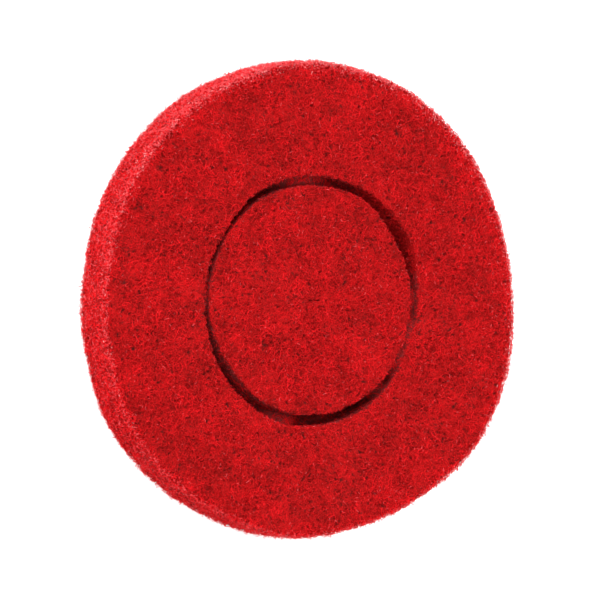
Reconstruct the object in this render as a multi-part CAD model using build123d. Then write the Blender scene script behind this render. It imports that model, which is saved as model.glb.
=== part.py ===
from build123d import *
import os

# A round floor pad of non-woven nylon and polyester fibre, as a rotary floor machine
# carries under its pad driver. It lies flat, with either face up.
# A circular cut frees a knock-out disc in the middle, which is pushed out when the
# machine's pad lock has to come through the pad.
# Origin: centre of the lower face. +Z: along the pad's axis, out of the upper face.

# Driving dimensions, in millimetres.
PAD_DIAMETER = 165.0
CENTRE_HOLE_DIAMETER = 85.0
CUT_WIDTH = 2.5  # radial gap between the ring and the knock-out disc
THICKNESS = 18.0
EDGE_RADIUS = 1.2  # fibres at the cut edges stand back, so no edge is sharp

pad_radius = PAD_DIAMETER / 2
hole_radius = CENTRE_HOLE_DIAMETER / 2
plug_radius = hole_radius - CUT_WIDTH


def standing_cylinder(radius):
    """A cylinder as tall as the pad, standing on the floor plane."""
    return Cylinder(radius, THICKNESS, align=(Align.CENTER, Align.CENTER, Align.MIN))


def with_soft_edges(solid):
    """The solid with each of its circular edges rounded."""
    return fillet(solid.edges().filter_by(GeomType.CIRCLE), EDGE_RADIUS)


def pad_ring():
    """The working part of the pad, with its centre hole."""
    return with_soft_edges(standing_cylinder(pad_radius) - standing_cylinder(hole_radius))


def centre_plug():
    """The knock-out disc, cut from the same web and so just as thick."""
    return with_soft_edges(standing_cylinder(plug_radius))


parts = {
    "pad_ring": pad_ring(),
    "centre_plug": centre_plug(),
}

os.makedirs("parts", exist_ok=True)
for node, shape in parts.items():
    export_step(shape, f"parts/{node}.step")
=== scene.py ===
import math

import bpy
import numpy as np
from mathutils import Matrix, Vector


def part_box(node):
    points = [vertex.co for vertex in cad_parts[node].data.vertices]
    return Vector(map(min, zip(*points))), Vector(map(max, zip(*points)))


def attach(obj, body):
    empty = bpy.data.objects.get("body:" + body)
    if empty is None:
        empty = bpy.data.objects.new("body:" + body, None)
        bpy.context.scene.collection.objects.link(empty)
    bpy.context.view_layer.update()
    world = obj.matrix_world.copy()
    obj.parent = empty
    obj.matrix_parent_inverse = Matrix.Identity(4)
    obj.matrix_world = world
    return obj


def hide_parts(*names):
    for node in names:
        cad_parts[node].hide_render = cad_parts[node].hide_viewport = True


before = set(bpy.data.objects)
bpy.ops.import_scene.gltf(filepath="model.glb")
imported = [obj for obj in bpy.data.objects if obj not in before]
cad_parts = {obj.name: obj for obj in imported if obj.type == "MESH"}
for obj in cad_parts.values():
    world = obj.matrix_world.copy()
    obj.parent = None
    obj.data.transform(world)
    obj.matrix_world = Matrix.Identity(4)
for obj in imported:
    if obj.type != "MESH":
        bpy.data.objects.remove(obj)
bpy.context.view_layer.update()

# The pad as the frame gives it, in metres.
RING_LOW, RING_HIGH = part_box("pad_ring")
PLUG_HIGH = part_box("centre_plug")[1]
THICKNESS = RING_HIGH.z - RING_LOW.z
PAD_RADIUS = RING_HIGH.x
PLUG_RADIUS = PLUG_HIGH.x
CUT_WIDTH = 0.0025  # the CAD's own figure, because a box doesn't show the hole
HOLE_RADIUS = PLUG_RADIUS + CUT_WIDTH
CUT_RADIUS = PLUG_RADIUS + CUT_WIDTH / 2

MM = 0.001
TURN = 2 * math.pi

# The solid web lies a little below the surface that the loose fibres make.
WEB_DEPTH = 0.55 * MM
LOWER_WEB_DEPTH = 0.3 * WEB_DEPTH  # at the lower face, which the floor presses flat
WEB_GRID = 0.78 * MM
EDGE_RADIUS = 1.5 * MM
CUT_EDGE_RADIUS = 0.6 * MM

# The die-cut edge isn't a true circle: (angle in degrees, height in mm, half width in degrees).
OUTLINE_BULGES = [
    (345, 0.8, 10),
    (327, 2.2, 20),
    (306, -0.7, 8),
    (285, -1.7, 18),
    (246, -1.2, 12),
    (228, -0.3, 8),
    (208, 0.8, 8),
    (196, -0.7, 14),
    (174, -0.8, 8),
    (160, -1.2, 18),
    (134, -0.7, 14),
    (121, -0.3, 8),
    (110, -0.7, 8),
    (86, 0.3, 8),
    (58, 0.8, 10),
    (36, 0.8, 12),
    (30, -0.6, 8),
    (15, -0.3, 10),
]

# Nor is the cut around the knock-out disc.
HOLE_BULGES = [
    (26, 1.6, 12),
    (52, 1.0, 18),
    (146, -1.3, 17),
    (182, -0.4, 12),
    (214, 0.4, 9),
    (247, 0.7, 28),
    (254, 0.4, 9),
    (334, -1.4, 16),
]
PLUG_BULGES = [
    (36, -0.5, 9),
    (58, 0.8, 14),
    (122, 0.7, 12),
    (146, 0.6, 14),
    (181, 1.4, 25),
    (240, 0.4, 16),
    (272, -0.4, 9),
    (300, -0.4, 14),
]

# The cut leaves this many mm of the web at the bottom, and more on these stretches:
# (angle in degrees, height in mm, half width in degrees).
UNCUT_HEIGHT = 4.5
UNCUT_STRETCHES = [
    (0, 14.8, 13),
    (93, 15.4, 22),
    (176, 16.3, 28),
    (258, 13.5, 13),
    (314, 14.0, 11),
    (338, 17.3, 30),
]
UNCUT_STEEPNESS = 2.5  # the power of the stretches' flanks: 2 is a bell, and more is steeper
UNCUT_SLOPE = 1.5 * MM  # the uncut web fades into the walls over this height
UNCUT_REACH = 6 * MM  # and this far into the ring

# Open pores between the fibres: (size of the noise's cell, noise above which the web is open).
PORES = [(1.1 * MM, 0.55), (0.55 * MM, 0.47)]
PORE_SLOPE = 0.15  # the rise in the noise from a pore's rim to its middle
PORE_DEPTH = 0.9 * MM

# The web's bumps: (height in mm, size of the noise's cell).
WEB_BUMPS = [(0.22, 9 * MM), (0.12, 3 * MM), (0.10, 1.3 * MM)]
SMOOTH_BESIDE_CUT = 4 * MM  # the blade leaves the web smoother this near to the cut
SMOOTHEST = 0.1  # the share of the bumps that is left at the cut itself
LOWEST_WEB = 0.05 * MM  # nothing of the web reaches below this
LOWEST_FIBRE = 0.01 * MM  # nor any fibre below this

# The web is painted darker and greyer in the cut, as painted shade, this near to the cut and this far
# below the upper face.
CUT_SHADE_AMOUNT = 0.75  # its share of the web's colour
CUT_SHADE_REACH = 2.6 * MM
CUT_SHADE_FADE = 0.5 * MM
CUT_SHADE_BELOW_FACE = 0.75 * MM
CUT_SHADE_FADE_AT_FACE = 1.5 * MM

# Light reaches the pores this near to the pad's rim, and takes up to this share of their darkness away.
LIT_PORE_REACH = 3 * MM
LIT_PORE_FADE = 2 * MM
LIT_PORE_SHARE = 0.6


# ---------------------------------------------------------------- small tools


class Noise:
    """Smooth random values from -1 to 1, on a cubic lattice that repeats."""

    SIDE = 160

    def __init__(self, seed):
        rng = np.random.default_rng(seed)
        self.lattice = rng.uniform(-1, 1, (self.SIDE,) * 3).astype(np.float32)

    def __call__(self, points, cell):
        """The value at each point, for bumps about one cell across."""
        place = points / cell
        low = np.floor(place).astype(int)
        part = place - low
        part = part * part * (3 - 2 * part)
        total = np.zeros(points.shape[:-1])
        for corner in np.ndindex(2, 2, 2):
            at = tuple(np.moveaxis((low + corner) % self.SIDE, -1, 0))
            share = np.where(corner, part, 1 - part).prod(-1)
            total += self.lattice[at] * share
        return total


SHAPE_NOISE = Noise(11)
SHADE_NOISE = Noise(12)
PORE_NOISE = Noise(13)


def pore_share(points):
    """From 0 in the sound web to 1 in the middle of a pore."""
    share = np.zeros(points.shape[:-1])
    for cell, level in PORES:
        share = np.maximum(share, (PORE_NOISE(points, cell) - level) / PORE_SLOPE)
    return np.minimum(share, 1)


def degrees_from(centre, angle):
    """How far each angle, in radians, is from the centre, in degrees from -180 to 180."""
    return (np.degrees(angle) - centre + 180) % 360 - 180


def uncut_top(angle):
    """How high the uncut web stands in the cut at each angle."""
    top = np.full(angle.shape, UNCUT_HEIGHT)
    for centre, height, half_width in UNCUT_STRETCHES:
        away = degrees_from(centre, angle)
        top = np.maximum(top, height * np.exp(-(np.abs(away / half_width) ** UNCUT_STEEPNESS)))
    return top * MM


def edge_shift(angle, bulges):
    """How far a die-cut edge stands out from its true circle at each angle."""
    shift = np.zeros_like(angle)
    for centre, height, half_width in bulges:
        away = degrees_from(centre, angle)
        shift += height * MM * np.exp(-((away / half_width) ** 2))
    return shift


class Body:
    """One of the pad's two bodies: its edges' true radii, and how each edge strays from its circle."""

    def __init__(self, inner, outer, inner_bulges, outer_bulges, outer_rounding):
        self.inner, self.outer = inner, outer
        self.inner_bulges, self.outer_bulges = inner_bulges, outer_bulges
        self.outer_rounding = outer_rounding

    def shift(self, r, angle):
        """How far a point at radius r moves outwards with the edges on either side of it."""
        share = np.clip((r - self.inner) / (self.outer - self.inner), 0, 1)
        inner = edge_shift(angle, self.inner_bulges) * (1 - share) ** 2
        return inner + edge_shift(angle, self.outer_bulges) * share**2

    def corner(self, points):
        """How far each point lies past the body's rounded outline, and the way out of it."""
        r = np.hypot(points[..., 0], points[..., 1])
        angle = np.arctan2(points[..., 1], points[..., 0])
        across = r - self.outer - edge_shift(angle, self.outer_bulges)
        sign = np.ones_like(r)
        rounding = np.full_like(r, self.outer_rounding)
        if self.inner:
            inside = self.inner + edge_shift(angle, self.inner_bulges) - r
            sign = np.where(inside > across, -1.0, 1.0)
            rounding = np.where(inside > across, CUT_EDGE_RADIUS, rounding)
            across = np.maximum(inside, across)
        z = points[..., 2]
        upright = np.maximum(-z, z - THICKNESS)
        up = np.where(-z > z - THICKNESS, -1.0, 1.0)
        past = np.stack([across, upright], -1) + rounding[..., None]
        both = np.maximum(past, 0)
        reach = np.linalg.norm(both, axis=-1)
        distance = reach + np.minimum(past.max(-1), 0) - rounding
        way = both / (reach[..., None] + 1e-12)
        out = way[..., 0] * sign
        normal = np.stack([out * np.cos(angle), out * np.sin(angle), way[..., 1] * up], -1)
        return distance, normal

    def distance(self, points):
        """How far each point lies outside the body: negative inside."""
        return self.corner(points)[0]


CUT_CLEARANCE = 0.4 * MM  # loose fibres stand back from the cut by this much on each side
RING = Body(HOLE_RADIUS + CUT_CLEARANCE, PAD_RADIUS, HOLE_BULGES, OUTLINE_BULGES, EDGE_RADIUS)
PLUG = Body(0.0, PLUG_RADIUS - CUT_CLEARANCE, [], PLUG_BULGES, CUT_EDGE_RADIUS)
RING_WEB_RADIUS, PLUG_WEB_RADIUS = RING.inner + WEB_DEPTH / 2, PLUG.outer - WEB_DEPTH / 2


def new_object(name, mesh):
    thing = bpy.data.objects.new(name, mesh)
    bpy.context.scene.collection.objects.link(thing)
    return thing


def mesh_from_arrays(name, points, quads, triangles, shades=None):
    """A mesh from numpy arrays of points and faces, with a material index for each face."""
    mesh = bpy.data.meshes.new(name)
    loops = np.concatenate([quads.ravel(), triangles.ravel()]).astype(np.int32)
    sizes = np.concatenate([np.full(len(quads), 4), np.full(len(triangles), 3)])
    starts = np.concatenate([[0], np.cumsum(sizes)[:-1]]).astype(np.int32)
    mesh.vertices.add(len(points))
    mesh.vertices.foreach_set("co", points.astype(np.float32).ravel())
    mesh.loops.add(len(loops))
    mesh.loops.foreach_set("vertex_index", loops)
    mesh.polygons.add(len(sizes))
    mesh.polygons.foreach_set("loop_start", starts)
    if shades is not None:
        mesh.polygons.foreach_set("material_index", shades.astype(np.int32))
    mesh.polygons.foreach_set("use_smooth", np.ones(len(sizes), bool))
    mesh.update(calc_edges=True)
    return mesh


# ---------------------------------------------------------------- materials


def plain_fibre(name, colour, roughness, gloss):
    """One shade of the loose fibres, the same all over."""
    material = bpy.data.materials.new(name)
    material.use_nodes = True
    shader = material.node_tree.nodes["Principled BSDF"]
    shader.inputs["Base Color"].default_value = (*colour, 1)
    shader.inputs["Roughness"].default_value = roughness
    shader.inputs["Specular IOR Level"].default_value = gloss
    return material


# The fibres' shades, in linear colours: from the dark ones, which stand in partly for the shade deep in
# the web, to the pale ones of painted glints; then the pink of painted sheen, the white of painted glints,
# and the greyish dark of painted shade in the cut.
FIBRE_SHADES = [
    plain_fibre("fibre_deep", (0.150, 0.0085, 0.0075), 0.62, 0.03),
    plain_fibre("fibre_dark", (0.390, 0.0080, 0.0075), 0.55, 0.06),
    plain_fibre("fibre_red", (0.620, 0.0075, 0.0095), 0.5, 0.08),
    plain_fibre("fibre_bright", (0.830, 0.0080, 0.0130), 0.45, 0.09),
    plain_fibre("fibre_pale_glint", (0.860, 0.0950, 0.1050), 0.45, 0.12),
    plain_fibre("fibre_rim_sheen", (0.810, 0.0950, 0.1100), 0.5, 0.12),
    plain_fibre("fibre_white_glint", (0.950, 0.4000, 0.4000), 0.5, 0.15),
    plain_fibre("fibre_cut_shade", (0.240, 0.0300, 0.0310), 0.7, 0.03),
]
RED, PALE_GLINT, RIM_SHEEN, WHITE_GLINT, SHADED_IN_CUT = 2, 4, 5, 6, 7

# The web's colours, darkened overall as painted shade for its depth under the fibres: from dark to light
# in its grain, then the painted shade in its pores and the greyish painted shade in the cut.
WEB_DARK = (0.035, 0.0040, 0.0030)
WEB_MIDDLE = (0.280, 0.0050, 0.0055)
WEB_LIGHT = (0.620, 0.0080, 0.0100)
WEB_PORE_SHADE = (0.055, 0.0100, 0.0085)
WEB_CUT_SHADE = (0.160, 0.0230, 0.0220)
GRAIN_SHARE = 0.75  # the rest of the web's tone is larger clouds


def web_material():
    """The resin-bonded web under the loose fibres: mottled dark red, the dark being painted shade for its
    depth, rough, with a coarse grain.
    """
    material = bpy.data.materials.new("web_red")
    material.use_nodes = True
    nodes, links = material.node_tree.nodes, material.node_tree.links
    shader = nodes["Principled BSDF"]
    place = nodes.new("ShaderNodeTexCoord")

    def noise(scale, detail, roughness):
        """A noise fixed to the piece, from 0 to 1."""
        node = nodes.new("ShaderNodeTexNoise")
        node.inputs["Scale"].default_value = scale
        node.inputs["Detail"].default_value = detail
        node.inputs["Roughness"].default_value = roughness
        links.new(place.outputs["Object"], node.inputs["Vector"])
        return node.outputs["Fac"]

    grain = noise(scale=1900, detail=4, roughness=0.75)
    cloud = noise(scale=140, detail=3, roughness=0.55)
    both = nodes.new("ShaderNodeMath")
    both.operation = "MULTIPLY_ADD"
    links.new(grain, both.inputs[0])
    both.inputs[1].default_value = GRAIN_SHARE
    weaker = nodes.new("ShaderNodeMath")
    weaker.operation = "MULTIPLY"
    weaker.inputs[1].default_value = 1 - GRAIN_SHARE
    links.new(cloud, weaker.inputs[0])
    links.new(weaker.outputs[0], both.inputs[2])
    ramp = nodes.new("ShaderNodeValToRGB")
    stops = ramp.color_ramp.elements
    stops[0].position = 0.36
    stops[0].color = (*WEB_DARK, 1)
    stops[1].position = 0.64
    stops[1].color = (*WEB_LIGHT, 1)
    stops.new(0.45).color = (*WEB_MIDDLE, 1)
    links.new(both.outputs[0], ramp.inputs["Fac"])

    def mixed_by(attribute, base, colour):
        """The base colour, mixed with this one by the mesh's attribute."""
        share = nodes.new("ShaderNodeAttribute")
        share.attribute_name = attribute
        mix = nodes.new("ShaderNodeMix")
        mix.data_type = "RGBA"
        mix.inputs["B"].default_value = (*colour, 1)
        links.new(share.outputs["Fac"], mix.inputs["Factor"])
        links.new(base, mix.inputs["A"])
        return mix.outputs["Result"]

    # Painted shade in the pores, where the fibres above would keep the light out.
    colour = mixed_by("painted_pore_shade", ramp.outputs["Color"], WEB_PORE_SHADE)
    # Painted shade on the cut's walls: dark and greyish.
    colour = mixed_by("painted_cut_shade", colour, WEB_CUT_SHADE)
    links.new(colour, shader.inputs["Base Color"])
    bump = nodes.new("ShaderNodeBump")
    bump.inputs["Strength"].default_value = 0.8
    bump.inputs["Distance"].default_value = 0.4 * MM
    links.new(grain, bump.inputs["Height"])
    links.new(bump.outputs["Normal"], shader.inputs["Normal"])
    rough = nodes.new("ShaderNodeMapRange")
    rough.inputs["To Min"].default_value = 0.95
    rough.inputs["To Max"].default_value = 0.6
    links.new(grain, rough.inputs["Value"])
    links.new(rough.outputs["Result"], shader.inputs["Roughness"])
    shader.inputs["Specular IOR Level"].default_value = 0.04
    return material


# ---------------------------------------------------------------- the solid web


BEND_POINTS = 4  # on each round bend of a profile


def rounded_profile(corners, radii, step):
    """Points along a run of straight lines through the corners, with round bends, in (r, z)."""
    points = [np.array(corners[0], float)]
    for before, corner, after, radius in zip(corners, corners[1:], corners[2:], radii):
        corner = np.array(corner, float)
        to_before = (np.array(before) - corner) / np.linalg.norm(np.array(before) - corner)
        to_after = (np.array(after) - corner) / np.linalg.norm(np.array(after) - corner)
        middle = corner + radius * (to_before + to_after)
        for turn in np.linspace(0, math.pi / 2, BEND_POINTS):
            points.append(middle - radius * (math.sin(turn) * to_before + math.cos(turn) * to_after))
    points.append(np.array(corners[-1], float))
    path = [points[0]]
    for a, b in zip(points, points[1:]):
        count = max(1, round(np.linalg.norm(b - a) / step))
        path.extend(a + (b - a) * k / count for k in range(1, count + 1))
    return np.array(path)


def with_uncut_web(r, z, angle):
    """The hole's wall moved in to the plug wherever the cut doesn't reach down to it."""
    wall = RING_WEB_RADIUS + edge_shift(angle, HOLE_BULGES)
    plug = PLUG_WEB_RADIUS + edge_shift(angle, PLUG_BULGES)
    near_wall = np.clip(1 - (r - wall) / UNCUT_REACH, 0, 1)
    below = np.clip((uncut_top(angle) - z) / UNCUT_SLOPE, 0, 1)
    return r - (wall - plug) * near_wall * below * below * (3 - 2 * below)


def web_height(points):
    """How far the web's bumps rise at each point, less its pores."""
    height = 0
    for k, (rise, cell) in enumerate(WEB_BUMPS):
        # Each size of bump reads another stretch of the noise.
        height = height + rise * SHAPE_NOISE(points + 0.1 * k, cell)
    return height * MM - PORE_DEPTH * pore_share(points)


def cut_shade_share(from_cut, z):
    """How much of the web's colour is the cut's painted shade, at this distance from the cut and this
    height.
    """
    in_cut = np.clip((CUT_SHADE_REACH - from_cut) / CUT_SHADE_FADE, 0, 1)
    below_face = np.clip((THICKNESS - CUT_SHADE_BELOW_FACE - z) / CUT_SHADE_FADE_AT_FACE, 0, 1)
    return CUT_SHADE_AMOUNT * in_cut * below_face


def turned_web(name, body, profile, closed):
    """The profile turned about the pad's axis, then roughened along its own normals."""
    around = round(TURN * body.outer / WEB_GRID)
    angle = np.arange(around) * TURN / around
    if closed:
        profile = profile[:-1]
        poles = []
    else:
        poles = [profile[0], profile[-1]]
        profile = profile[1:-1]
    along = len(profile)
    ahead = np.roll(profile, -1, 0) - np.roll(profile, 1, 0)
    if not closed:
        ahead[0] = profile[1] - profile[0]
        ahead[-1] = profile[-1] - profile[-2]
    outward = np.stack([-ahead[:, 1], ahead[:, 0]], 1)
    outward /= np.linalg.norm(outward, axis=1, keepdims=True)
    r = profile[:, 0][None, :] + np.zeros((around, 1))
    z = profile[:, 1][None, :] + np.zeros((around, 1))
    turn = angle[:, None] + np.zeros(r.shape)
    r = r + body.shift(r, turn)
    if body is RING:
        r = with_uncut_web(r, z, turn)
    c, s = np.cos(angle)[:, None], np.sin(angle)[:, None]
    points = np.stack([r * c, r * s, z], -1)
    normal = np.stack([outward[:, 0] * c, outward[:, 0] * s, outward[:, 1] + 0 * c], -1)
    from_cut = np.abs(r - CUT_RADIUS)
    height = web_height(points) * np.clip(from_cut / SMOOTH_BESIDE_CUT, SMOOTHEST, 1)
    points = points + normal * height[..., None]
    points[..., 2] = np.maximum(points[..., 2], LOWEST_WEB)
    from_rim = PAD_RADIUS + body.shift(r, turn) - r
    # Painted shade in the pores, less of it near the rim; then the painted shade of the cut.
    lit = LIT_PORE_SHARE * np.clip((LIT_PORE_REACH - from_rim) / LIT_PORE_FADE, 0, 1)
    painted_pore_shade = pore_share(points) * (1 - lit)
    painted_cut_shade = cut_shade_share(from_cut, z)
    flat = points.reshape(-1, 3)
    index = np.arange(around * along).reshape(around, along)
    beside = np.roll(index, -1, 0)
    if closed:
        above = np.roll(index, -1, 1)
        beside_above = np.roll(beside, -1, 1)
    else:
        index, above = index[:, :-1], index[:, 1:]
        beside, beside_above = beside[:, :-1], beside[:, 1:]
    quads = np.stack([index, beside, beside_above, above], -1).reshape(-1, 4)
    triangles = np.zeros((0, 3), int)
    if poles:
        flat = np.concatenate([flat, [[0, 0, poles[0][1]], [0, 0, poles[1][1]]]])
        painted_pore_shade = np.concatenate([painted_pore_shade.ravel(), [0, 0]])
        painted_cut_shade = np.concatenate([painted_cut_shade.ravel(), [0, 0]])
        first, last = around * along, around * along + 1
        start, end = np.arange(around) * along, np.arange(around) * along + along - 1
        triangles = np.concatenate(
            [
                np.stack([np.full(around, first), np.roll(start, -1), start], 1),
                np.stack([np.full(around, last), end, np.roll(end, -1)], 1),
            ]
        )
    mesh = mesh_from_arrays(name, flat, quads, triangles)
    mesh.attributes.new("painted_pore_shade", "FLOAT", "POINT").data.foreach_set("value", painted_pore_shade.ravel())
    mesh.attributes.new("painted_cut_shade", "FLOAT", "POINT").data.foreach_set("value", painted_cut_shade.ravel())
    return new_object(name, mesh)


def make_webs():
    """The ring's and the plug's solid webs, which stand for their CAD nodes."""
    material = web_material()
    low, high = LOWER_WEB_DEPTH, THICKNESS - WEB_DEPTH
    inner, outer = RING_WEB_RADIUS, RING.outer - WEB_DEPTH
    middle = (inner + outer) / 2
    ring_corners = [
        (middle, high),
        (outer, high),
        (outer, low),
        (inner, low),
        (inner, high),
        (middle, high),
    ]
    ring_radii = [EDGE_RADIUS, EDGE_RADIUS, CUT_EDGE_RADIUS, CUT_EDGE_RADIUS]
    ring = turned_web("ring_web", RING, rounded_profile(ring_corners, ring_radii, WEB_GRID), True)
    plug_corners = [(0, high), (PLUG_WEB_RADIUS, high), (PLUG_WEB_RADIUS, low), (0, low)]
    plug_radii = [CUT_EDGE_RADIUS, CUT_EDGE_RADIUS]
    plug = turned_web("plug_web", PLUG, rounded_profile(plug_corners, plug_radii, WEB_GRID), False)
    for web in (ring, plug):
        web.data.materials.append(material)
    return ring, plug


# ---------------------------------------------------------------- loose fibres


CORNER_WIDTH = 2.5 * MM  # the frayed band along the rim's upper and lower edges


class Patch:
    """Places on a surface at these angles about the pad's axis, with their normals and two tangents."""

    def __init__(self, angle, place, normal):
        self.place, self.normal = place, normal
        self.first = np.stack([-np.sin(angle), np.cos(angle), np.zeros(len(angle))], 1)
        self.second = np.cross(normal, self.first)


def random_patch(rng, count, side, body, start, end):
    """Random places on one sector of a body's side."""
    angle = rng.uniform(start, end, count)
    if side in ("upper", "lower"):
        r = np.sqrt(rng.uniform(body.inner**2, body.outer**2, count))
        z = np.full(count, THICKNESS if side == "upper" else 0.0)
    elif side == "corners":
        r = body.outer - CORNER_WIDTH * rng.uniform(0, 1, count) ** 2
        z = rng.choice([0, THICKNESS], count)
    else:
        r = np.full(count, body.outer if side == "outside" else body.inner)
        z = rng.uniform(0, THICKNESS, count)
    r = r + body.shift(r, angle)
    square_place = np.stack([r * np.cos(angle), r * np.sin(angle), z], 1)
    distance, normal = body.corner(square_place)
    return Patch(angle, square_place - distance[:, None] * normal, normal)


FINE_STEPS = 20  # a path's steps before it is cut to length
SEGMENTS = 5  # and after
SIDES = 3  # of a fibre's tube
TIP_TAPER = 0.55  # the share of its radius that is left at both ends
CRIMP = 0.16 * MM  # how far each of its bends strays by chance
FIBRE_RADIUS = (0.055, 0.12)  # in mm

# A lying fibre: its length beside the usual, the share that is twice as long, its bend and the size of its
# waves in radians, how many waves it has, how many mm it swings up and down, and how often.
LENGTHS = (0.6, 1.3)
DOUBLE_SHARE = 0.25
BEND = 1.6
WAVE_SIZE = 0.7
WAVES = (0.8, 1.8)
SWING = (0.06, 0.25)
SWINGS = (0.6, 1.3)

# A standing cut end: its length beside the usual, its lean and its curl in radians, and the share of its
# length that is rooted in the web.
STUB_LENGTHS = (0.5, 1.5)
STUB_LEAN = (0.3, 1.5)
STUB_CURL = 0.8
STUB_ROOT = 0.4


def lying_paths(rng, patch, length, depth):
    """Curly paths that lie in the surface, some deeper and some standing in low loops."""
    count = len(patch.place)
    t = np.linspace(-0.5, 0.5, FINE_STEPS + 1)[None, :]
    length = length * rng.uniform(*LENGTHS, (count, 1))
    length = length * rng.choice([1, 2], (count, 1), p=[1 - DOUBLE_SHARE, DOUBLE_SHARE])
    heading = rng.uniform(0, TURN, (count, 1)) + rng.normal(0, BEND, (count, 1)) * t
    waves = rng.uniform(*WAVES, (count, 1))
    wave_size = rng.normal(0, WAVE_SIZE, (count, 1))
    heading = heading + wave_size * np.sin(TURN * waves * t + rng.uniform(0, TURN, (count, 1)))
    step = length / FINE_STEPS
    u = np.cumsum(np.cos(heading), 1) * step
    v = np.cumsum(np.sin(heading), 1) * step
    u -= u[:, FINE_STEPS // 2][:, None]
    v -= v[:, FINE_STEPS // 2][:, None]
    level = -depth * rng.uniform(0, 1, (count, 1))
    swing = rng.uniform(*SWING, (count, 1)) * MM
    swings = rng.uniform(*SWINGS, (count, 1))
    h = level + swing * np.sin(TURN * swings * t + rng.uniform(0, TURN, (count, 1)))
    return (
        patch.place[:, None, :]
        + u[..., None] * patch.first[:, None, :]
        + v[..., None] * patch.second[:, None, :]
        + h[..., None] * patch.normal[:, None, :]
    )


def standing_paths(rng, patch, length):
    """Short cut ends that point out of the surface and lean over."""
    count = len(patch.place)
    t = np.linspace(0, 1, FINE_STEPS + 1)[None, :]
    length = length * rng.uniform(*STUB_LENGTHS, (count, 1))
    side = rng.uniform(0, TURN, (count, 1))
    lean = rng.uniform(*STUB_LEAN, (count, 1)) + rng.normal(0, STUB_CURL, (count, 1)) * t
    out = np.cumsum(np.cos(lean), 1) * length / FINE_STEPS - STUB_ROOT * length
    over = np.cumsum(np.sin(lean), 1) * length / FINE_STEPS
    side = side + rng.normal(0, STUB_CURL, (count, 1)) * t
    return (
        patch.place[:, None, :]
        + (over * np.cos(side))[..., None] * patch.first[:, None, :]
        + (over * np.sin(side))[..., None] * patch.second[:, None, :]
        + out[..., None] * patch.normal[:, None, :]
    )


FEWEST_STEPS = 3  # a path with fewer of its fine steps left is dropped


def cut_paths(rng, paths, inside):
    """Each path's run about its middle that lies inside, as SEGMENTS even steps with a little crimp."""
    fine = paths.shape[1]
    middle = fine // 2
    forward = np.cumprod(inside[:, middle:], 1).sum(1) + middle - 1
    back = middle - (np.cumprod(inside[:, middle::-1], 1).sum(1) - 1)
    keep = inside[:, middle] & (forward - back >= FEWEST_STEPS)
    paths, forward, back = paths[keep], forward[keep], back[keep]
    at = back[:, None] + (forward - back)[:, None] * np.linspace(0, 1, SEGMENTS + 1)[None, :]
    low = np.floor(at).astype(int)
    high = np.minimum(low + 1, fine - 1)
    part = (at - low)[..., None]
    rows = np.arange(len(paths))[:, None]
    even = paths[rows, low] * (1 - part) + paths[rows, high] * part
    return even + rng.normal(0, CRIMP, even.shape)


def tubes(name, rng, paths, radius, shade):
    """A closed, tapered three-sided tube along each path, as one mesh."""
    count, knots, _ = paths.shape
    ahead = np.gradient(paths, axis=1)
    ahead /= np.linalg.norm(ahead, axis=2, keepdims=True) + 1e-12
    helper = rng.normal(0, 1, (count, 1, 3))
    first = np.cross(ahead, helper)
    first /= np.linalg.norm(first, axis=2, keepdims=True) + 1e-12
    second = np.cross(ahead, first)
    taper = np.ones(knots)
    taper[0] = taper[-1] = TIP_TAPER
    ring = radius[:, None] * taper[None, :]
    points = np.empty((count, knots, SIDES, 3))
    for k in range(SIDES):
        turn = TURN * k / SIDES
        points[:, :, k] = paths + ring[..., None] * (math.cos(turn) * first + math.sin(turn) * second)
    points[..., 2] = np.maximum(points[..., 2], LOWEST_FIBRE)
    index = np.arange(count * knots * SIDES).reshape(count, knots, SIDES)
    here, there = index[:, :-1], index[:, 1:]
    quads = np.stack([here, np.roll(here, -1, 2), np.roll(there, -1, 2), there], -1)
    triangles = np.stack([index[:, 0, ::-1], index[:, -1]], 1)
    quad_shade = np.repeat(shade.reshape(-1), SIDES)
    end_shade = shade[:, [0, -1]].reshape(-1)
    mesh = mesh_from_arrays(
        name,
        points.reshape(-1, 3),
        quads.reshape(-1, 4),
        triangles.reshape(-1, 3),
        np.concatenate([quad_shade, end_shade]),
    )
    for material in FIBRE_SHADES:
        mesh.materials.append(material)
    return new_object(name, mesh)


# What a segment's tone is made of: (share, size of the noise's cell) of two clouds, and the spread by
# chance for a fibre and again for a segment. The limits part the shades, from deep to bright.
CLOUDS = [(0.34, 6 * MM), (0.32, 2 * MM)]
TONE_BY_CHANCE = 0.24
TONE_LIMITS = [-0.8, -0.25, 0.4]
SHADE_PER_DEPTH = 0.6 / MM  # painted shade: a fibre is darker the deeper it lies below the mean
MEAN_DEPTH = 0.35 * MM

PALE_GLINT_SHARE = 0.013  # short pale stretches on the fibres, painted glints
# More of the painted glints along the rim's corners.
PALE_GLINT_AT_CORNER = 0.3
CUT_SHADE_DEPTH = 0.7 * MM  # this far below the face, the darkest fibres in the cut take the greyish dark red of painted shade

# Painted light on the rim is strongest on its lit side. Each pair is for the far side and for that side:
# the share of fibre painted with a pink sheen, the band's width, the share painted with white glints at
# the corners, and how much lighter it is painted.
LIT_SIDE = math.radians(60)
RIM_SHEEN_SHARE = (0.06, 0.54)
RIM_SHEEN_WIDTH = (1.1 * MM, 2.6 * MM)
WHITE_GLINT_AT_CORNER = (0.0, 0.15)
PAINTED_RIM_LIGHT = (0.25, 0.75)
PAINTED_RIM_LIGHT_SPREAD = 0.25  # the power that spreads the band of painted light wider than the sheen


def segment_middles(paths):
    return (paths[:, 1:] + paths[:, :-1]) / 2


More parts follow.
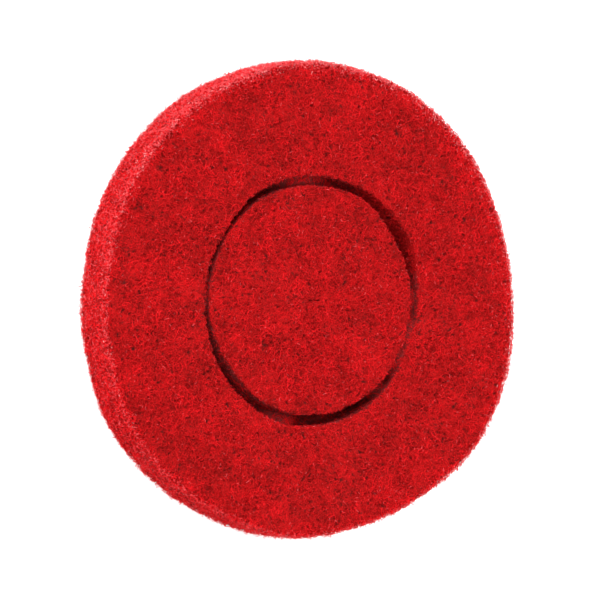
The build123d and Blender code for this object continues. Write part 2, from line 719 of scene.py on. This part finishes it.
def choose_shades(rng, middle, lighter):
    """A shade for each segment, by clouds over the pad, by chance, lighter by this much, with painted
    light at the rim and painted shade in the cut.
    """
    angle = np.arctan2(middle[..., 1], middle[..., 0])
    from_rim = PAD_RADIUS + edge_shift(angle, OUTLINE_BULGES) - np.hypot(middle[..., 0], middle[..., 1])
    toward_lit_side = (1 + np.cos(angle - LIT_SIDE)) / 2

    def by_side(pair):
        """A value between the pair's two, by how far round to the lit side the segment is."""
        return np.interp(toward_lit_side, [0, 1], pair)

    width = by_side(RIM_SHEEN_WIDTH)
    near_rim = np.exp(-((np.maximum(from_rim, 0) / width) ** 2))
    tone = 0
    for k, (share, cell) in enumerate(CLOUDS):
        tone = tone + share * SHADE_NOISE(middle + 0.3 * k, cell)
    tone = tone + rng.normal(0, TONE_BY_CHANCE, (len(middle), 1))
    tone = tone + rng.normal(0, TONE_BY_CHANCE, middle.shape[:2])
    # Painted light: a lighter band along the rim, widest and lightest on the lit side.
    tone = tone + lighter + by_side(PAINTED_RIM_LIGHT) * near_rim**PAINTED_RIM_LIGHT_SPREAD
    shade = np.digitize(tone, TONE_LIMITS)
    from_face = np.minimum(middle[..., 2], THICKNESS - middle[..., 2])
    near_corner = near_rim * np.exp(-np.maximum(from_face, 0) / width)
    # Painted sheen: pink fibres near the rim, most of them on the lit side.
    rim_sheen = rng.random(shade.shape) < by_side(RIM_SHEEN_SHARE) * near_rim
    shade = np.where(rim_sheen, RIM_SHEEN, shade)
    # Painted highlight: short pale glints, more of them at the corners.
    pale_glint = rng.random(shade.shape) < PALE_GLINT_SHARE + PALE_GLINT_AT_CORNER * near_corner
    shade = np.where(pale_glint, PALE_GLINT, shade)
    # Painted highlight: white glints on the corners' fibres, on the lit side.
    white_glint = rng.random(shade.shape) < by_side(WHITE_GLINT_AT_CORNER) * near_corner
    shade = np.where(white_glint, WHITE_GLINT, shade)
    # Painted shade in the cut: its darker fibres below the face take a greyish dark red.
    from_cut = np.abs(np.hypot(middle[..., 0], middle[..., 1]) - CUT_RADIUS)
    in_cut = (from_cut < CUT_WIDTH) & (middle[..., 2] < THICKNESS - CUT_SHADE_DEPTH)
    return np.where(in_cut & (shade < RED), SHADED_IN_CUT, shade)


FIBRE_LENGTH = 3 * MM
STUB_LENGTH = 1.8 * MM
DEEPEST = 0.8 * MM
LEAST_REACH = 0.1  # of how far the side's loose fibres reach out
OPEN_PORE = 0.5  # a fibre ends where a pore is more open than this


def fibre_piece(name, seed, body, side, layer, start, end):
    """The loose fibres of one sector of a body's side, as one piece."""
    rng = np.random.default_rng(seed)
    if side in ("upper", "lower"):
        area = (body.outer**2 - body.inner**2) * (end - start) / 2
    elif side == "corners":
        area = 2 * CORNER_WIDTH * body.outer * (end - start)
    else:
        area = (body.outer if side == "outside" else body.inner) * (end - start) * THICKNESS
    count = round(area / MM**2 * layer["per_mm2"])
    upright = round(count * layer["standing"])
    lying = random_patch(rng, count - upright, side, body, start, end)
    stubs = random_patch(rng, upright, side, body, start, end)
    paths = np.concatenate(
        [
            lying_paths(rng, lying, FIBRE_LENGTH, DEEPEST),
            standing_paths(rng, stubs, STUB_LENGTH),
        ]
    )
    reach = layer["loose"] * MM * rng.uniform(LEAST_REACH, 1, (len(paths), 1)) ** 2
    inside = (body.distance(paths) < reach) & (pore_share(paths) < OPEN_PORE)
    paths = cut_paths(rng, paths, inside)
    radius = layer["radius"] * rng.uniform(*FIBRE_RADIUS, len(paths)) * MM
    middle = segment_middles(paths)
    # The side's tone, and painted shade by depth.
    lighter = layer["lighter"] + SHADE_PER_DEPTH * (body.distance(middle) + MEAN_DEPTH)
    return tubes(name, rng, paths, radius, choose_shades(rng, middle, lighter))


# The ties: how light they are, and where each ends, turns (in radians), lies and swings (in mm).
TIE_SHADE = 0.05
TIE_ROOT = 0.3 * MM  # where each starts, inside the ring's web
TIE_END = (0.4, 1)  # the share of the way across the cut
TIE_SLANT = 0.05
TIE_CURVE = 0.03
TIE_DEPTH = (0, 1.8)
TIE_SWING = (0.1, 0.4)


def tie_piece(name, seed, count):
    """The fibres that lie across the cut on top of the uncut web."""
    rng = np.random.default_rng(seed)
    angle = rng.uniform(0, TURN, count)
    t = np.linspace(0, 1, SEGMENTS + 1)[None, :]
    start, end = RING_WEB_RADIUS + TIE_ROOT, PLUG_RADIUS
    r = start + (end - start) * rng.uniform(*TIE_END, (count, 1)) * t
    turn = angle[:, None] + rng.normal(0, TIE_SLANT, (count, 1)) * t
    turn = turn + rng.normal(0, TIE_CURVE, (count, 1)) * t**2
    level = uncut_top(turn) - rng.uniform(*TIE_DEPTH, (count, 1)) * MM
    swing = rng.uniform(*TIE_SWING, (count, 1)) * MM
    z = level + swing * np.sin(TURN * (t + rng.uniform(0, 1, (count, 1))))
    paths = np.stack([r * np.cos(turn), r * np.sin(turn), z], -1)
    radius = rng.uniform(*FIBRE_RADIUS, count) * MM
    return tubes(name, rng, paths, radius, choose_shades(rng, segment_middles(paths), TIE_SHADE))


TORN_DEPTH = 0.3 * MM  # how deep the torn fibres lie in the face of the break
TORN_SHADE = 0.0
LOWEST_TORN = 0.1 * MM
LOWEST_TORN_SHARE = 0.02  # of the uncut web's height


def torn_piece(name, seed, count, radius, outward):
    """The torn fibres on one face of the break between the plug and the uncut web."""
    rng = np.random.default_rng(seed)
    angle = rng.uniform(0, TURN, count)
    height = rng.uniform(LOWEST_TORN_SHARE, 1, count) * uncut_top(angle)
    radius = radius + edge_shift(angle, PLUG_BULGES)
    place = np.stack([radius * np.cos(angle), radius * np.sin(angle), height], 1)
    normal = outward * np.stack([np.cos(angle), np.sin(angle), np.zeros(count)], 1)
    paths = lying_paths(rng, Patch(angle, place, normal), FIBRE_LENGTH, TORN_DEPTH)
    turn = np.arctan2(paths[..., 1], paths[..., 0])
    inside = (paths[..., 2] > LOWEST_TORN) & (paths[..., 2] < uncut_top(turn))
    paths = cut_paths(rng, paths, inside)
    thick = rng.uniform(*FIBRE_RADIUS, len(paths)) * MM
    return tubes(name, rng, paths, thick, choose_shades(rng, segment_middles(paths), TORN_SHADE))


# The fibres of each side: how many to a mm2, the share that stands, how far in mm they reach out, how
# thick they are beside FIBRE_RADIUS, and how much lighter, as painted light on the rim and corners and
# painted shade on the cut's walls. A side is as many pieces as it has sectors.
FACE = {"per_mm2": 2.6, "standing": 0.12, "loose": 0.4, "radius": 1.0, "lighter": 0.0}
BACK = {"per_mm2": 1.4, "standing": 0.12, "loose": 0.4, "radius": 1.2, "lighter": 0.0}
RIM = {"per_mm2": 1.7, "standing": 0.5, "loose": 2.0, "radius": 1.25, "lighter": 0.55}
CORNERS = {"per_mm2": 1.5, "standing": 0.8, "loose": 1.6, "radius": 1.1, "lighter": 0.4}
CUT_WALL = {"per_mm2": 2.2, "standing": 0.4, "loose": 0.4, "radius": 1.0, "lighter": -0.35}
SIDES_OF_RING = [
    ("upper", FACE, 7),
    ("lower", BACK, 4),
    ("outside", RIM, 3),
    ("corners", CORNERS, 1),
    ("inside", CUT_WALL, 2),
]
SIDES_OF_PLUG = [("upper", FACE, 3), ("lower", BACK, 2), ("outside", CUT_WALL, 2)]


FIRST_SEED = 100
TIES = 4000
TORN_ON_RING = 3600
TORN_ON_PLUG = 2400
TORN_GAP = 0.2 * MM  # between the two faces of the break


def make_fibres():
    """Every piece of loose fibre, with the body that it rides on."""
    made = {"ring": [], "plug": []}
    seed = FIRST_SEED
    for rides_on, body, sides in (("ring", RING, SIDES_OF_RING), ("plug", PLUG, SIDES_OF_PLUG)):
        for side, layer, sectors in sides:
            for k in range(sectors):
                name = f"{rides_on}_{side}_fibres_{k + 1}"
                start, end = TURN * k / sectors, TURN * (k + 1) / sectors
                made[rides_on].append(fibre_piece(name, seed, body, side, layer, start, end))
                seed += 1
    made["ring"].append(tie_piece("ring_ties", 51, TIES))
    made["ring"].append(torn_piece("ring_torn_fibres", 52, TORN_ON_RING, PLUG_WEB_RADIUS, -1))
    made["plug"].append(torn_piece("plug_torn_fibres", 53, TORN_ON_PLUG, PLUG_WEB_RADIUS + TORN_GAP, 1))
    return made


# ---------------------------------------------------------------- stage, light and camera


FLOOR_RADIUS = 4.0
FLOOR_BEND_RADIUS = 1.2
FLOOR_BEND_ANGLE = math.radians(60)
FLOOR_BEND_STEPS = 12
FLOOR_GREY = 0.85
FLOOR_ROUGHNESS = 0.9
FLOOR_GLOW = 0.5  # keeps it pale in the pad's shadow


def make_floor():
    """A plain white floor that turns up into a low backdrop all round."""
    around = 96
    angle = np.arange(around) * TURN / around
    bend = np.linspace(0, FLOOR_BEND_ANGLE, FLOOR_BEND_STEPS)
    r = FLOOR_RADIUS + FLOOR_BEND_RADIUS * np.sin(bend)[:, None]
    z = FLOOR_BEND_RADIUS * (1 - np.cos(bend))[:, None] + 0 * angle
    rings = np.stack([r * np.cos(angle), r * np.sin(angle), z], -1)
    index = np.arange(len(bend) * around).reshape(len(bend), around)
    beside = np.roll(index, -1, 1)
    quads = np.stack([index[:-1], index[1:], beside[1:], beside[:-1]], -1).reshape(-1, 4)
    middle = np.stack([np.full(around, len(bend) * around), index[0], beside[0]], 1)
    points = np.concatenate([rings.reshape(-1, 3), [[0, 0, 0]]])
    mesh = mesh_from_arrays("floor", points, quads, middle)
    floor = new_object("floor", mesh)
    material = bpy.data.materials.new("floor_white")
    material.use_nodes = True
    shader = material.node_tree.nodes["Principled BSDF"]
    shader.inputs["Base Color"].default_value = (FLOOR_GREY, FLOOR_GREY, FLOOR_GREY, 1)
    shader.inputs["Roughness"].default_value = FLOOR_ROUGHNESS
    shader.inputs["Emission Color"].default_value = (1, 1, 1, 1)
    shader.inputs["Emission Strength"].default_value = FLOOR_GLOW
    mesh.materials.append(material)


# The studio's lights: (name, place in metres, side in metres, watts), and the white world's strength.
LIGHTS = [
    ("key_light", (-1.05, 0.85, 0.95), 1.3, 34),
    ("top_light", (0.1, -0.2, 1.4), 1.2, 9),
    ("fill_light", (0.9, -1.0, 0.5), 1.2, 8),
    ("rim_light", (1.3, 0.8, 0.25), 1.0, 18),
]
WORLD_STRENGTH = 0.55


def area_light(name, place, size, power):
    """A soft square light that faces the pad."""
    data = bpy.data.lights.new(name, "AREA")
    data.size = size
    data.energy = power
    light = bpy.data.objects.new(name, data)
    light.location = place
    light.rotation_euler = (-Vector(place)).to_track_quat("-Z", "Y").to_euler()
    bpy.context.scene.collection.objects.link(light)


def make_lights():
    for light in LIGHTS:
        area_light(*light)
    world = bpy.data.worlds.new("studio")
    world.use_nodes = True
    background = world.node_tree.nodes["Background"]
    background.inputs["Color"].default_value = (1, 1, 1, 1)
    background.inputs["Strength"].default_value = WORLD_STRENGTH
    bpy.context.scene.world = world


CAMERA_TILT = math.radians(30.4)
CAMERA_DISTANCE = 1.5
PIXELS_PER_METRE = 2890  # at the pad, in an image of this many pixels across
IMAGE_SIDE = 601
SENSOR_WIDTH = 36  # in mm
CAMERA_SEES = 20  # metres away


def make_camera():
    """A long lens that looks down on the pad from its left, with +Y up in the picture."""
    data = bpy.data.cameras.new("camera")
    data.sensor_width = SENSOR_WIDTH
    data.lens = PIXELS_PER_METRE * CAMERA_DISTANCE * data.sensor_width / IMAGE_SIDE
    data.clip_end = CAMERA_SEES
    camera = bpy.data.objects.new("camera", data)
    target = Vector((0, 0, THICKNESS / 2))
    away = Vector((-math.sin(CAMERA_TILT), 0, math.cos(CAMERA_TILT)))
    camera.location = target + CAMERA_DISTANCE * away
    right = Vector((math.cos(CAMERA_TILT), 0, math.sin(CAMERA_TILT)))
    up = away.cross(right)
    turn = np.array([right, up, away]).T
    camera.rotation_euler = Matrix(turn.tolist()).to_euler()
    bpy.context.scene.collection.objects.link(camera)
    bpy.context.scene.camera = camera


# ---------------------------------------------------------------- the scene

make_camera()
make_floor()
make_lights()
bpy.context.scene.view_settings.view_transform = "Standard"

ring_web, plug_web = make_webs()
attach(ring_web, "ring")
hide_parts("pad_ring")
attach(plug_web, "plug")
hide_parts("centre_plug")

for body, pieces in make_fibres().items():
    for piece in pieces:
        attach(piece, body)
